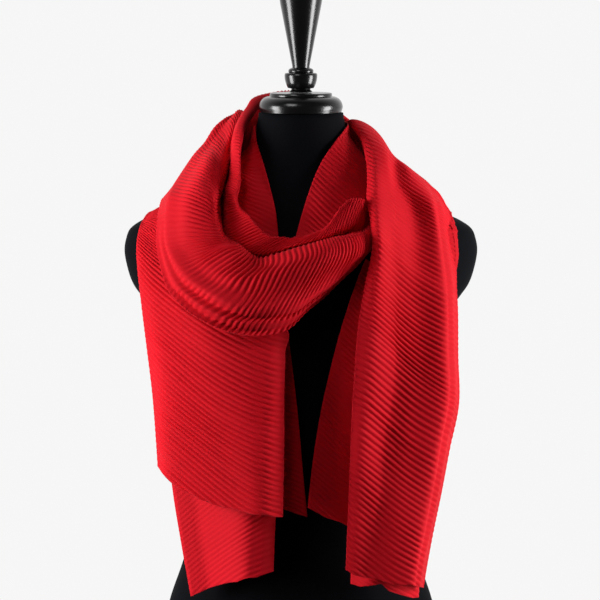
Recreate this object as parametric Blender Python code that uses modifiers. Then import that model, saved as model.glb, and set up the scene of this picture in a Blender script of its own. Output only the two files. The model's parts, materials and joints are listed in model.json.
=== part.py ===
"""Pleated scarf wound once round a limbless dress form.

Metres, +Z up.  The form faces -Y and stands on z = 0 with its axis on x = y = 0, so +X is the
viewer's right.  Each stretch of the scarf is a strip of cloth lofted through pleat lines: a table
row is one pleat line across the strip, and its named columns are points on that line, in
millimetres.  Rows run along the scarf, and every other row of the finished grid stands proud, which
makes the pleats.  The Solidify modifier gives the cloth its wall.
"""
import math

import bpy
import numpy as np

MM = 0.001

# Driving sizes of the cloth, in millimetres.
CLOTH_WALL = 2.0
PLEAT_ROW = 10.8         # from a pleat's crest to its valley, along the scarf
PLEAT_RISE = 1.1         # crest above the strip's middle, and valley below it
SEAM_GAP = 5.0           # along the strip's middle, between two stretches that meet end to end
FORM_GAP = 3.6           # least space between a strip's middle and the form
HANG_STEP = 15.0         # spacing of the heights at which hanging cloth looks for the form above it

# Driving sizes of the turned neck cap and finial, in millimetres.
NECK_TOP = 705.5
CAP_HEIGHT = 22.1
CAP_RADIUS = 46.6      # at its widest, a little above its foot
CAP_WIDEST = 5.6       # height of that above its foot
PLATE_RADIUS = 34.6
PLATE_THICK = 3.6
STACK_GAP = 0.3        # between the neck, the cap and the finial
FINIAL_TURNS = 28
CAP_TURNS = 32

# The form's level sections, in millimetres, from its foot to the top of its neck.
# Columns: height, half width, depth in front of the axis, depth behind it.
FORM_SECTIONS = (
    (0, 148, 97, 107),
    (5, 152, 101, 111),
    (60, 158, 106, 120),
    (110, 157, 105, 121),
    (153, 149, 102, 114),
    (197, 134, 94, 100),
    (240, 122, 88, 87),
    (280, 118, 90, 83),
    (330, 123, 100, 87),
    (380, 134, 110, 93),
    (430, 143, 115, 99),
    (470, 155, 114, 103),
    (500, 177, 110, 106),
    (516, 188, 108, 105),
    (534, 194, 105, 103),
    (552, 197, 100, 99),
    (566, 195, 95, 94),
    (577, 190, 90, 90),
    (586, 177, 84, 86),
    (593, 161, 80, 82),
    (602, 140, 76, 77),
    (612, 118, 71, 72),
    (626, 96, 65, 65),
    (640, 75, 59, 59),
    (655, 60, 54, 54),
    (672, 52, 50, 50),
    (NECK_TOP, 47, 47, 47),
)
FORM_SEGMENTS = 36

# First pass, viewer's left: the tail's three plies.
# Columns: outer, bend, ridge, face, inner.
TAIL_LEFT_FRONT = (
    ((-150, 50, 574), (-132, 58, 584), (-112, 62, 593), (-100, 62, 599), (-90, 61, 605)),
    ((-166, 8, 594), (-148, 10, 602), (-122, 12, 613), (-108, 10, 621), (-96, 8, 630)),
    ((-175, -26, 588), (-155, -46, 579), (-130, -70, 566), (-106, -90, 555), (-94, -100, 550)),
    ((-180, -44, 570), (-157, -70, 553), (-113, -108, 526), (-65, -127, 502), (-49, -128, 494)),
    ((-180, -54, 545), (-157, -88, 526), (-105, -134, 494), (-38, -148, 462), (-17, -139, 455)),
    ((-175, -62, 500), (-152, -98, 483), (-97, -141, 448), (-38, -149, 418), (-18, -136, 410)),
    ((-169, -68, 452), (-147, -104, 436), (-91, -144, 398), (-38, -150, 371), (-18, -136, 362)),
    ((-163, -72, 402), (-143, -107, 388), (-80, -147, 346), (-39, -150, 322), (-19, -136, 313)),
    ((-157, -77, 321), (-139, -108, 306), (-70, -148, 289), (-40, -151, 282), (-20, -137, 277)),
)
# Columns: outer, ridge, face, inner.
TAIL_LEFT_BACK = (
    ((-151, -60, 423), (-76, -122, 480), (-42, -127, 495), (-24, -124, 503)),
    ((-148, -62, 359), (-75, -124, 417), (-43, -130, 433), (-24, -126, 440)),
    ((-141, -66, 293), (-73, -129, 354), (-43, -134, 370), (-25, -129, 377)),
    ((-132, -68, 237), (-72, -131, 293), (-44, -137, 309), (-26, -131, 314)),
    ((-121, -71, 177), (-69, -131, 204), (-48, -138, 211), (-30, -132, 216)),
)
# Columns: outer, middle, inner.
TAIL_LEFT_INNER = (
    ((-72, 18, 636), (-60, 18, 664), (-48, 15, 692)),
    ((-71, -12, 656), (-59, -16, 665), (-47, -20, 674)),
    ((-70, -34, 649), (-56, -40, 649), (-41, -44, 653)),
    ((-68, -50, 641), (-51, -58, 634), (-34, -62, 629)),
    ((-70, -62, 620), (-50, -75, 609), (-27, -80, 600)),
    ((-70, -82, 584), (-48, -93, 572), (-23, -99, 561)),
    ((-70, -100, 531), (-45, -107, 517), (-18, -112, 504)),
    ((-72, -107, 474), (-42, -117, 459), (-10, -119, 444)),
    ((-73, -108, 415), (-40, -118, 399), (-3, -119, 382)),
    ((-71, -108, 359), (-36, -118, 342), (2, -119, 324)),
    ((-68, -108, 305), (-31, -118, 286), (7, -119, 273)),
)

# First pass, round the back of the neck and down the viewer's right side to the V.
# Columns: rim, middle, outer.
COLLAR_WRAP = (
    ((-48, 15, 692), (-60, 18, 664), (-72, 18, 636)),
    ((-35, 38, 697), (-41, 44, 674), (-52, 55, 645)),
    ((1, 52, 698), (2, 58, 674), (3, 72, 643)),
    ((35, 38, 697), (41, 43, 675), (52, 53, 648)),
    ((48, 8, 693), (53, 9, 675), (63, 12, 655)),
    ((47, -18, 689), (56, -20, 674), (73, -20, 653)),
    ((36, -42, 674), (52, -44, 658), (75, -40, 636)),
    ((25, -52, 659), (43, -60, 643), (72, -60, 618)),
    ((16, -63, 642), (34, -71, 626), (64, -76, 602)),
    ((9, -73, 624), (25, -80, 611), (52, -84, 589)),
    ((2, -82, 603), (16, -86, 592), (39, -92, 578)),
    ((-4, -91, 582), (9, -95, 573), (28, -99, 561)),
    ((-9, -100, 561), (1, -103, 554), (17, -105, 546)),
)

# Second pass: across the chest, over the left shoulder and round the back to the right shoulder.
# Columns: rim, hollow, crest, belly, ridge, edge.
LOOP_FRONT = (
    ((84, -64, 618), (88, -74, 605), (91, -80, 599), (94, -86, 586), (94, -85, 581), (92, -82, 574)),
    ((80, -70, 616), (77, -85, 594), (78, -97, 587), (79, -109, 577), (79, -107, 571), (77, -100, 565)),
    ((75, -74, 612), (67, -98, 585), (68, -109, 583), (70, -130, 566), (64, -127, 556), (59, -113, 547)),
    ((61, -92, 617), (47, -108, 580), (50, -124, 579), (50, -152, 558), (36, -152, 534), (24, -133, 514)),
    ((52, -94, 616), (38, -112, 579), (40, -129, 578), (38, -159, 556), (19, -161, 524), (6, -143, 501)),
    ((43, -98, 609), (26, -115, 576), (27, -132, 576), (23, -163, 553), (0, -168, 514), (-15, -153, 483)),
    ((32, -104, 590), (10, -114, 571), (11, -131, 571), (5, -163, 549), (-19, -170, 509), (-42, -160, 477)),
    ((13, -108, 580), (-11, -113, 565), (-11, -131, 565),
     (-17, -163, 546), (-41, -171, 507), (-64, -161, 479)),
    ((-1, -110, 577), (-29, -110, 558), (-29, -128, 560),
     (-38, -160, 542), (-58, -170, 508), (-84, -160, 484)),
    ((-21, -112, 578), (-53, -105, 557), (-50, -128, 558),
     (-69, -155, 539), (-90, -163, 519), (-118, -149, 500)),
    ((-32, -112, 578), (-62, -102, 563), (-59, -121, 564),
     (-87, -144, 544), (-107, -150, 527), (-133, -137, 512)),
    ((-42, -108, 583), (-72, -97, 570), (-68, -113, 569),
     (-99, -135, 556), (-123, -137, 539), (-144, -124, 524)),
    ((-51, -104, 592), (-80, -90, 576), (-78, -105, 571),
     (-107, -127, 563), (-136, -121, 554), (-152, -102, 546)),
    ((-65, -96, 607), (-87, -68, 597), (-89, -93, 586),
     (-122, -111, 595), (-145, -87, 592), (-157, -62, 588)),
    ((-70, -86, 623), (-87, -46, 619), (-91, -78, 612),
     (-116, -88, 629), (-137, -36, 629), (-154, -10, 610)),
    ((-67, -76, 637), (-82, -34, 632), (-87, -60, 626),
     (-108, -64, 644), (-129, -10, 644), (-152, 26, 605)),
    ((-67, -64, 651), (-79, -28, 645), (-84, -48, 638), (-101, -44, 657), (-119, 6, 659), (-146, 59, 596)),
    ((-65, -40, 681), (-76, -18, 676), (-78, -20, 664), (-86, -4, 677), (-97, 28, 685), (-117, 96, 573)),
)
LOOP_BACK = (
    LOOP_FRONT[-1],
    ((-62, -18, 696), (-72, -5, 694), (-74, -4, 685), (-78, 18, 691), (-82, 42, 693), (-98, 106, 562)),
    ((-54, 8, 709), (-62, 18, 708), (-64, 22, 705), (-68, 46, 703), (-70, 88, 668), (-82, 110, 560)),
    ((-44, 32, 719), (-51, 42, 720), (-52, 48, 718), (-61, 84, 676), (-66, 102, 636), (-66, 116, 560)),
    ((-18, 61, 725), (-20, 76, 719), (-22, 86, 706), (-30, 102, 666), (-36, 112, 628), (-34, 118, 560)),
    ((10, 66, 722), (12, 80, 715), (14, 89, 701), (20, 104, 664), (26, 113, 622), (30, 118, 560)),
    ((36, 56, 706), (47, 68, 696), (56, 76, 685), (80, 88, 650), (98, 96, 618), (110, 98, 566)),
    ((51, 32, 694), (74, 36, 680), (89, 39, 660), (117, 43, 637), (136, 47, 620), (155, 45, 588)),
    ((57, 4, 696), (87, 3, 681), (101, 1, 658), (136, 0, 632), (152, 0, 617), (167, 0, 590)),
)

# Second pass, viewer's right: the tail's plies.
# Columns: inner, lobe, valley, middle, fold, side, outer.
TAIL_RIGHT_FRONT = (
    ((57, 4, 696), (87, 3, 681), (101, 1, 658), (115, 0, 647),
     (136, 0, 632), (152, 0, 617), (167, 0, 590)),
    ((66, -22, 683), (91, -34, 670), (103, -30, 657), (118, -38, 646),
     (135, -37, 631), (150, -24, 617), (165, -6, 594)),
    ((72, -51, 660), (94, -61, 648), (103, -56, 639), (120, -62, 626),
     (141, -65, 614), (154, -51, 605), (166, -28, 587)),
    ((73, -74, 639), (95, -82, 625), (105, -78, 616), (123, -71, 603),
     (145, -76, 591), (156, -63, 582), (167, -42, 569)),
    ((72, -94, 616), (97, -99, 601), (106, -94, 591), (125, -85, 575),
     (148, -88, 563), (160, -77, 554), (170, -52, 542)),
    ((76, -112, 590), (98, -112, 571), (107, -107, 563), (125, -99, 548),
     (151, -100, 533), (164, -87, 524), (170, -65, 517)),
    ((77, -124, 565), (99, -122, 546), (108, -117, 537), (126, -112, 522),
     (153, -112, 506), (164, -98, 499), (171, -75, 491)),
    ((69, -141, 527), (98, -133, 503), (107, -128, 493), (128, -124, 476),
     (153, -124, 462), (165, -108, 454), (171, -84, 445)),
    ((62, -150, 482), (97, -139, 454), (106, -135, 445), (128, -133, 427),
     (154, -132, 410), (166, -114, 402), (172, -88, 393)),
    ((58, -153, 431), (92, -143, 403), (101, -140, 395), (121, -139, 378),
     (146, -137, 362), (157, -119, 352), (162, -94, 344)),
    ((55, -154, 380), (85, -146, 356), (95, -144, 347), (115, -143, 330),
     (138, -140, 314), (149, -122, 304), (153, -98, 296)),
    ((53, -154, 326), (79, -151, 305), (88, -149, 297), (109, -149, 280),
     (129, -145, 265), (139, -127, 256), (143, -104, 248)),
    ((49, -150, 222), (69, -149, 213), (79, -149, 212), (100, -149, 205),
     (119, -146, 204), (129, -130, 199), (134, -107, 192)),
)
# Columns: inner, lobe, middle, outer.
TAIL_RIGHT_UNDER = (
    ((58, -125, 255), (81, -141, 245), (105, -130, 228), (131, -96, 208)),
    ((54, -125, 201), (78, -142, 203), (105, -131, 191), (129, -97, 179)),
)
# Columns: inner, middle, outer.
TAIL_RIGHT_INNER = (
    ((70, -99, 553), (94, -102, 536), (119, -96, 518)),
    ((60, -107, 529), (85, -108, 509), (114, -101, 489)),
    ((46, -115, 488), (72, -116, 467), (105, -107, 443)),
    ((35, -121, 449), (64, -122, 425), (99, -111, 400)),
    ((23, -123, 397), (54, -124, 372), (90, -113, 347)),
    ((14, -124, 344), (48, -125, 317), (86, -113, 292)),
    ((7, -124, 285), (38, -125, 271), (78, -113, 248)),
)

# How far the loop is folded in between its ridge and its edge, in millimetres, at each section.
LOOP_FRONT_FOLD = (0, 0, 0, 2, 5, 7, 8, 8, 8, 8, 6, 4, 2, 0, 0, 0, 0, 0)
LOOP_BACK_FOLD = (0, 0, 3, 5, 6, 6, 5, 3, 0)
DEEPEST_FOLD = max(LOOP_FRONT_FOLD)
RIM_TUCK = 9.0             # down, behind the loop's rim
EDGE_TUCK = (9.0, 10.0)    # inward and up, behind the loop's lower edge where it is folded
EDGE_MARGIN = 1.5          # of flat cloth past the edge where it isn't


def catmull_rom(points, positions):
    """Smooth curve through rows of points, read at positions counted in rows."""
    points = np.asarray(points, float)
    last = len(points) - 1
    start = np.clip(np.floor(positions).astype(int), 0, last - 1)
    share = (np.asarray(positions) - start).reshape((-1,) + (1,) * (points.ndim - 1))
    here, after = points[start], points[start + 1]
    before = np.where((start > 0).reshape(share.shape), points[np.maximum(start - 1, 0)], 2 * here - after)
    beyond = np.where((start + 2 <= last).reshape(share.shape),
                      points[np.minimum(start + 2, last)], 2 * after - here)
    return 0.5 * (2 * here + (after - before) * share
                  + (2 * before - 5 * here + 4 * after - beyond) * share ** 2
                  + (3 * here - before - 3 * after + beyond) * share ** 3)


def form_size(heights):
    """The form's half width, front depth and back depth at some heights."""
    table = np.array(FORM_SECTIONS, float)
    return [np.interp(heights, table[:, 0], table[:, column]) for column in (1, 2, 3)]


def form_share(points):
    """How far out points lie, as a share of the form's own reach at their height."""
    half_width, front, back = form_size(points[..., 2])
    depth = np.where(points[..., 1] < 0, front, back)
    return np.hypot(points[..., 0] / half_width, points[..., 1] / depth)


def form_slope(points):
    """Gradient of form_share."""
    step = 1.0
    return np.stack([(form_share(points + step * axis) - form_share(points - step * axis)) / (2 * step)
                     for axis in np.eye(3)], -1)


def lift_off(points, gap):
    """Push points out of the form until they are gap away from it."""
    for _ in range(4):
        slope = form_slope(points)
        steepness = np.maximum(np.linalg.norm(slope, axis=-1, keepdims=True), 1e-6)
        distance = (form_share(points)[..., None] - 1) / steepness
        points = points + slope / steepness * np.maximum(gap - distance, 0)
    return points


def hang_clear(points, gap):
    """Bring cloth that hangs in front of the form clear of everything above it, down to its hem."""
    reach = np.zeros(points.shape[:-1])
    for above in np.arange(0, NECK_TOP, HANG_STEP):
        half_width, front, _ = form_size(points[..., 2] + above)
        reach = np.maximum(reach, front * np.sqrt(np.clip(1 - (points[..., 0] / half_width) ** 2, 0, None)))
    hanging = points.copy()
    hanging[..., 1] = np.minimum(points[..., 1], -(reach + gap))
    return hanging


def strip_grid(sections, across, row_spacing, trim=0.0):
    """Rows of points along a strip, a row every row_spacing and `across` points to a row."""
    sections = np.array(sections, float)
    fine = np.linspace(0, len(sections) - 1, 40 * (len(sections) - 1) + 1)
    path = catmull_rom(sections, fine)
    steps = np.linalg.norm(np.diff(path, axis=0), axis=-1).mean(axis=1)
    travelled = np.concatenate([[0], np.cumsum(steps)])
    rows = max(2, round((travelled[-1] - trim) / row_spacing)) + 1
    stations = np.interp(np.linspace(trim, travelled[-1], rows), travelled, fine)
    lines = catmull_rom(sections, stations)
    points = catmull_rom(lines.swapaxes(0, 1), np.linspace(0, sections.shape[1] - 1, across))
    return points.swapaxes(0, 1)


def grid_normals(grid):
    along = np.gradient(grid, axis=0)
    across = np.gradient(grid, axis=1)
    normals = np.cross(along, across)
    return normals / np.maximum(np.linalg.norm(normals, axis=-1, keepdims=True), 1e-9)


def pleated(grid):
    """Every other row of the grid stands proud, and its two end rows lie level."""
    side = np.where(np.arange(len(grid)) % 2 == 0, PLEAT_RISE, -PLEAT_RISE)
    side[[0, -1]] = 0
    return grid + grid_normals(grid) * side[:, None, None]


def away_from_axis(points):
    flat = points * (1, 1, 0)
    return flat / np.linalg.norm(flat, axis=-1, keepdims=True)


def loop_sections(sections, folds):
    """Add the loop's turned-in rim, its stepped lower folds and its turned-under edge."""
    rim, hollow, crest, belly, ridge, edge = np.array(sections, float).swapaxes(0, 1)
    fold = np.array(folds, float)[:, None]
    folded = fold / max(DEEPEST_FOLD, 1)
    inward, up = -away_from_axis(edge), np.array((0, 0, 1.0))
    onward = (edge - ridge) / np.linalg.norm(edge - ridge, axis=-1, keepdims=True)
    tucked_rim = rim - up * RIM_TUCK
    first_groove = ridge + (edge - ridge) * 0.30 + inward * fold
    second_ridge = ridge + (edge - ridge) * 0.58
    second_groove = ridge + (edge - ridge) * 0.80 + inward * fold * 0.8
    turned_under = folded * (inward * EDGE_TUCK[0] + up * EDGE_TUCK[1])
    tucked_edge = edge + turned_under + (1 - folded) * onward * EDGE_MARGIN
    return np.stack([tucked_rim, rim, hollow, crest, belly, ridge, first_groove, second_ridge,
                     second_groove, edge, tucked_edge], axis=1)


def make_collection(name):
    collection = bpy.data.collections.new(name)
    bpy.context.scene.collection.children.link(collection)
    return collection


def make_material(name, colour, roughness, metallic=0.0):
    material = bpy.data.materials.new(name)
    material.use_nodes = True
    shader = material.node_tree.nodes["Principled BSDF"]
    shader.inputs["Base Color"].default_value = (*colour, 1.0)
    shader.inputs["Roughness"].default_value = roughness
    shader.inputs["Metallic"].default_value = metallic
    return material


def make_object(name, vertices, faces, material, edges=()):
    mesh = bpy.data.meshes.new(name)
    mesh.from_pydata([tuple(v) for v in np.asarray(vertices) * MM], edges, faces)
    mesh.materials.append(material)
    item = bpy.data.objects.new(name, mesh)
    PART.objects.link(item)
    return item


def make_cloth(name, grid):
    """A strip of pleated cloth from its grid of points, with its wall."""
    rows, columns = grid.shape[:2]
    index = np.arange(rows * columns).reshape(rows, columns)
    corners = (index[:-1, :-1], index[1:, :-1], index[1:, 1:], index[:-1, 1:])
    faces = np.stack(corners, -1).reshape(-1, 4).tolist()
    item = make_object(name, pleated(grid).reshape(-1, 3), faces, SCARF_CLOTH)
    item.data.shade_smooth()
    wall = item.modifiers.new("wall", "SOLIDIFY")
    wall.thickness = CLOTH_WALL * MM
    wall.offset = 0
    return item


def make_form():
    """The torso: a loft through level oval sections, with a flat foot."""
    angles = np.linspace(0, 2 * math.pi, FORM_SEGMENTS, endpoint=False)
    rings = []
    for height, half_width, front, back in FORM_SECTIONS:
        depth = np.where(np.sin(angles) < 0, front, back)
        ring = np.stack([half_width * np.cos(angles), depth * np.sin(angles),
                         np.full_like(angles, height)], -1)
        rings.append(ring)
    vertices = np.concatenate(rings)
    after = np.roll(np.arange(FORM_SEGMENTS), -1)
    faces = []
    for ring in range(len(rings) - 1):
        low, high = ring * FORM_SEGMENTS, (ring + 1) * FORM_SEGMENTS
        faces += [(low + i, low + int(after[i]), high + int(after[i]), high + i) for i in range(FORM_SEGMENTS)]
    faces.append(tuple(range(FORM_SEGMENTS))[::-1])
    top = (len(rings) - 1) * FORM_SEGMENTS
    faces.append(tuple(range(top, top + FORM_SEGMENTS)))
    form = make_object("form_torso", vertices, faces, FORM_JERSEY)
    form.data.shade_smooth()
    return form


def make_turned(name, profile, turns, material):
    """A solid of revolution: profile points (radius, height) from the top down, both ends on the axis."""
    vertices = [(radius, 0, height) for radius, height in profile]
    edges = [(i, i + 1) for i in range(len(profile) - 1)]
    item = make_object(name, vertices, [], material, edges)
    screw = item.modifiers.new("turn", "SCREW")
    screw.steps = screw.render_steps = turns
    screw.use_merge_vertices = True
    screw.merge_threshold = 0.00005
    screw.use_smooth_shade = True
    return item


def make_neck_cap():
    """The round cap on the neck: a bun with a flat foot and a thin plate on its top."""
    bottom = NECK_TOP + STACK_GAP
    widest = bottom + CAP_WIDEST
    top = bottom + CAP_HEIGHT
    plate_foot = top - PLATE_THICK
    profile = [(0, top), (PLATE_RADIUS - 1, top), (PLATE_RADIUS, top - 1)]
    profile += [(PLATE_RADIUS + (CAP_RADIUS - PLATE_RADIUS) * math.cos(turn),
                 widest + (plate_foot - widest) * math.sin(turn)) for turn in np.linspace(math.pi / 2, 0, 6)]
    profile += [(CAP_RADIUS - 1.6, bottom), (0, bottom)]
    return make_turned("neck_cap", profile, CAP_TURNS, GLOSS_BLACK)


def make_finial():
    """The turned finial: foot, cup-shaped bead, ring and a cone that widens to its rounded top."""
    foot = NECK_TOP + CAP_HEIGHT + 2 * STACK_GAP
    profile = [(0, foot + 128), (12, foot + 127), (19, foot + 121), (23.5, foot + 112), (23.8, foot + 103),
               (22.5, foot + 92), (9.4, foot + 31.5), (12, foot + 29.5), (14, foot + 27), (13.6, foot + 24.5),
               (11, foot + 22.5), (16, foot + 19.5), (18.3, foot + 15), (17.5, foot + 9), (13.5, foot + 4.5),
               (14.2, foot + 2.5), (14.2, foot), (0, foot)]
    return make_turned("finial", profile, FINIAL_TURNS, GLOSS_BLACK)


def make_scarf():
    """The stretches of the scarf, from the body outwards."""
    def strip(sections, across, gap, hangs=True, trim=0.0):
        grid = strip_grid(sections, across, PLEAT_ROW, trim)
        if hangs:
            grid = hang_clear(grid, gap)
        return lift_off(grid, gap)

    make_cloth("tail_left_inner", strip(TAIL_LEFT_INNER, 5, FORM_GAP))
    make_cloth("collar_wrap", strip(COLLAR_WRAP, 5, FORM_GAP, hangs=False, trim=SEAM_GAP))
    make_cloth("tail_left_back", strip(TAIL_LEFT_BACK, 4, FORM_GAP))
    make_cloth("tail_left_front", strip(TAIL_LEFT_FRONT, 9, FORM_GAP, hangs=False))
    make_cloth("tail_right_inner", strip(TAIL_RIGHT_INNER, 5, FORM_GAP))
    make_cloth("tail_right_under", strip(TAIL_RIGHT_UNDER, 4, FORM_GAP))
    front = loop_sections(LOOP_FRONT, LOOP_FRONT_FOLD)
    back = loop_sections(LOOP_BACK, LOOP_BACK_FOLD)
    make_cloth("loop_front", strip(front, front.shape[1], FORM_GAP, hangs=False))
    make_cloth("loop_back", strip(back, back.shape[1], FORM_GAP, hangs=False, trim=SEAM_GAP))
    make_cloth("tail_right_front", strip(TAIL_RIGHT_FRONT, 13, FORM_GAP, hangs=False, trim=SEAM_GAP))


for leftover in list(bpy.data.objects):
    bpy.data.objects.remove(leftover)

PART = make_collection("pleated_scarf_on_form")
SCARF_CLOTH = make_material("scarf_cloth", (0.62, 0.012, 0.02), 0.75)
FORM_JERSEY = make_material("form_jersey", (0.008, 0.009, 0.011), 0.85)
GLOSS_BLACK = make_material("gloss_black", (0.004, 0.004, 0.004), 0.12)

make_form()
make_neck_cap()
make_finial()
make_scarf()
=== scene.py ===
"""Looks of a pleated scarf wound once round a limbless dress form.

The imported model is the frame: each stretch of the scarf replaces the solid of the same name, and lies
where that solid lies.  A stretch is a strip of cloth with accordion pleats across it.  A table row is
one pleat line, in millimetres (+Z up, -Y to the front), and its named columns are points on that line.
Rows run along the scarf.  The fine cloth is worked out from the tables: rows follow the pleats, and the
depth of each pleat comes from how much cloth it holds and how far apart its neighbours lie.
"""
import json
import math

import bmesh
import bpy
import numpy as np
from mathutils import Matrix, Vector

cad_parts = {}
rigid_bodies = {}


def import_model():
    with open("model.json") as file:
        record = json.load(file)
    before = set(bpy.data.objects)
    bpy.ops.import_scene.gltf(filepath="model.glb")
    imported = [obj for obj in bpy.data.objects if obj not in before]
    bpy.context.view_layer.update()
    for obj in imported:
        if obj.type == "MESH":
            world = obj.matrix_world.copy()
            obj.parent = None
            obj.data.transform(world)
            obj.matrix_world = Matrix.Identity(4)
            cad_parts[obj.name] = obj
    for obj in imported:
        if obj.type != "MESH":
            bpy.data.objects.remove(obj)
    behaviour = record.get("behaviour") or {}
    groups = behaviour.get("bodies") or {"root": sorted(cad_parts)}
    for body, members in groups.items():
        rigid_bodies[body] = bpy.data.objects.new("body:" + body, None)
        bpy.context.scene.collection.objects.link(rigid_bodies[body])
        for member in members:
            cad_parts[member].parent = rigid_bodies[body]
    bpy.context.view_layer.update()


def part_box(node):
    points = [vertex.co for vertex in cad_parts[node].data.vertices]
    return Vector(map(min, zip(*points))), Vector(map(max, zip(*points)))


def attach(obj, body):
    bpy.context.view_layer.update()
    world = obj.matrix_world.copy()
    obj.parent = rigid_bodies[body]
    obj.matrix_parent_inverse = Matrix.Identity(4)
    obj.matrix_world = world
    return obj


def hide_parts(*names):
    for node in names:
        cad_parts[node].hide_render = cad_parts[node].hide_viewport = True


MM = 0.001
BODY = "root"

# The cloth, in millimetres.
PLEAT_PITCH = 5.4        # along the strip's middle, from crest to crest
PLEAT_FULLNESS = 1.22    # cloth in a pleat, as a share of its pitch
PLEAT_LEAST = 0.5        # depth left where the pleats are pulled flat
PLEAT_MOST = 4.0         # depth of the deepest pleats
PLEAT_SHARP = 0.96       # 1 presses the pleats into a zigzag, and less rounds them
ROWS_PER_PLEAT = 6
CLOTH_WALL = 0.8
FORM_GAP = 3.6           # least space between a strip's middle and the form
LIFT_ROUNDS = 4          # times that cloth is pushed out of the form
HANG_STEP = 15.0         # from one height of the form to the next that hanging cloth clears
NECK_TOP = 705.5         # height of the form without its cap

# How uneven the pleats are.  Waves are counted in pleats along a strip, and in whole waves across it.
RIPPLE_WAVES = 6         # waves added up in each ripple
PITCH_UNEVEN = 0.07      # as a share of the pitch
PITCH_WAVE = 6
LINE_WANDER = 0.22       # in pleats
LINE_WAVES = (14, 1.6)
LINE_STILL = 7           # pleats at each end of a strip whose lines wander less
DEPTH_UNEVEN = 0.16      # as a share of the depth
DEPTH_WAVES = (3, 1.5)

SAMPLES_PER_SECTION = 40  # on the path along which a strip's pleats are counted

# The form's level sections, in millimetres, from its foot to the top of its neck.
# Columns: height, half width, depth in front of the axis, depth behind it.
FORM_SECTIONS = (
    (0, 148, 97, 107),
    (5, 152, 101, 111),
    (60, 158, 106, 120),
    (110, 157, 105, 121),
    (153, 149, 102, 114),
    (197, 134, 94, 100),
    (240, 122, 88, 87),
    (280, 118, 90, 83),
    (330, 123, 100, 87),
    (380, 134, 110, 93),
    (430, 143, 115, 99),
    (470, 155, 114, 103),
    (500, 177, 110, 106),
    (516, 188, 108, 105),
    (534, 194, 105, 103),
    (552, 197, 100, 99),
    (566, 195, 95, 94),
    (577, 190, 90, 90),
    (586, 177, 84, 86),
    (593, 161, 80, 82),
    (602, 140, 76, 77),
    (612, 118, 71, 72),
    (626, 96, 65, 65),
    (640, 75, 59, 59),
    (655, 60, 54, 54),
    (672, 52, 50, 50),
    (NECK_TOP, 47, 47, 47),
)

# First pass, viewer's left: the tail's three plies.
# Columns: outer, bend, ridge, face, inner.
TAIL_LEFT_FRONT = (
    ((-150, 50, 574), (-132, 58, 584), (-112, 62, 593), (-100, 62, 599),
     (-90, 61, 605)),
    ((-166, 8, 594), (-148, 10, 602), (-122, 12, 613), (-108, 10, 621),
     (-96, 8, 630)),
    ((-175, -26, 588), (-155, -46, 579), (-130, -70, 566), (-106, -90, 555),
     (-94, -100, 550)),
    ((-180, -44, 570), (-157, -70, 553), (-113, -108, 526), (-48, -129, 495),
     (-19, -129, 487)),
    ((-180, -54, 545), (-157, -88, 526), (-105, -132, 494), (-42, -147, 462),
     (-17, -136, 454)),
    ((-175, -62, 500), (-152, -98, 483), (-97, -137, 447), (-39, -152, 418),
     (-18, -136, 410)),
    ((-169, -68, 452), (-147, -104, 436), (-91, -139, 397), (-41, -155, 373),
     (-18, -137, 362)),
    ((-163, -72, 402), (-143, -107, 388), (-80, -143, 345), (-40, -157, 324),
     (-19, -138, 313)),
    ((-159, -76, 350), (-140, -108, 337), (-70, -146, 289), (-40, -156, 274),
     (-20, -140, 264)),
    ((-156, -78, 298), (-138, -108, 286), (-67, -146, 236), (-40, -155, 224),
     (-22, -141, 215)),
)
# Columns: outer, ridge, face, inner.
TAIL_LEFT_BACK = (
    ((-151, -60, 423), (-76, -122, 480), (-42, -127, 495), (-24, -124, 503)),
    ((-148, -62, 359), (-75, -124, 417), (-43, -130, 433), (-24, -126, 440)),
    ((-141, -66, 293), (-73, -129, 354), (-43, -134, 370), (-25, -129, 377)),
    ((-132, -68, 237), (-72, -131, 293), (-44, -137, 309), (-26, -131, 314)),
    ((-124, -70, 192), (-70, -131, 245), (-45, -138, 260), (-28, -132, 265)),
    ((-116, -72, 147), (-69, -131, 195), (-48, -138, 208), (-30, -132, 213)),
)
# Columns: outer, middle, inner.
TAIL_LEFT_INNER = (
    ((-72, 18, 636), (-60, 18, 664), (-48, 15, 692)),
    ((-71, -12, 656), (-59, -16, 665), (-47, -20, 674)),
    ((-70, -34, 649), (-56, -40, 649), (-41, -44, 653)),
    ((-68, -50, 641), (-51, -58, 634), (-34, -62, 629)),
    ((-70, -62, 620), (-50, -75, 609), (-27, -80, 600)),
    ((-70, -82, 584), (-48, -93, 572), (-23, -99, 561)),
    ((-70, -100, 531), (-45, -107, 517), (-18, -112, 504)),
    ((-72, -107, 474), (-42, -117, 459), (-10, -119, 444)),
    ((-73, -108, 415), (-40, -118, 399), (-3, -119, 382)),
    ((-71, -108, 359), (-36, -118, 342), (2, -119, 324)),
    ((-68, -108, 310), (-31, -118, 291), (7, -119, 272)),
    ((-65, -108, 256), (-27, -118, 239), (11, -119, 220)),
)

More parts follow.
